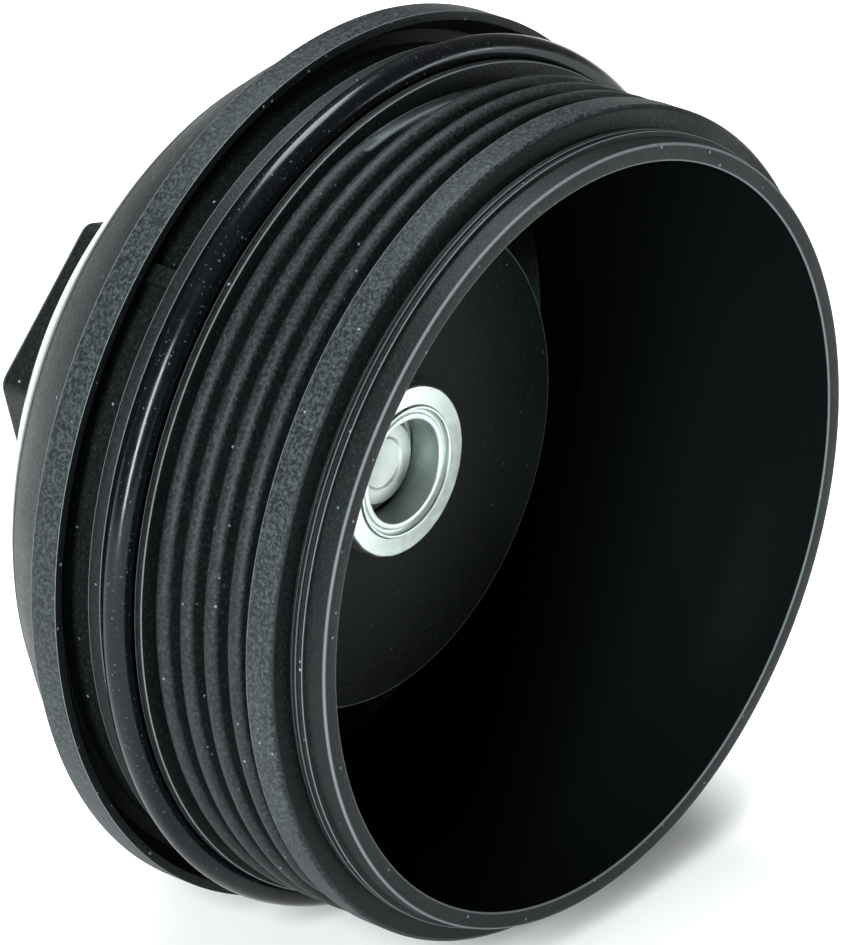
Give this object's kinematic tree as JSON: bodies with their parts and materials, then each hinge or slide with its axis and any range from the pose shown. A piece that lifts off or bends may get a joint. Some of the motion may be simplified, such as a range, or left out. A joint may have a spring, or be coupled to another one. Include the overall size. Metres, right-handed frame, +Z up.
{
  "type": "oil filter housing cap",
  "caption": "Round screw-on lid for an oil filter housing, with outside thread, seal ring, hexagon drive and a screw-in drain plug.",
  "frame": {"origin": "on the cap's axis, in the plane of the flange's front edge, where the cap meets the filter housing", "axes": "the cap's axis along Y with the open mouth towards -Y and the hexagon towards +Y, +Z up"},
  "size_m": [0.0914, 0.0619, 0.0914],
  "materials": {
    "cap_plastic": "satin black glass-filled nylon, fine grain",
    "seal_rubber": "smooth, slightly oily black nitrile rubber",
    "plated_steel": "turned steel, bright zinc plate",
    "plug_steel": "machined steel, dull plate",
    "washer_metal": "soft aluminium, turned"
  },
  "bodies": {
    "cap": {"cap_body": "cap_plastic", "housing_seal_ring": "seal_rubber", "drain_bush": "plated_steel"},
    "washer": {"drain_plug_washer": "washer_metal"},
    "plug": {"drain_plug": "plug_steel"}
  },
  "joints": [
    {"name": "plug_travel", "type": "slide", "parent": "cap", "child": "washer", "axis": [0, 1, 0], "range_m": [0, 0.0136]},
    {"name": "plug_turn", "type": "hinge", "parent": "washer", "child": "plug", "pos_m": [0, 0.0135, 0], "axis": [0, 1, 0], "range_deg": [0, 3240]}
  ],
  "couplings": [
    {"joint": "plug_travel", "follows": "plug_turn", "m_per_rad": 0.00023873}
  ]
}
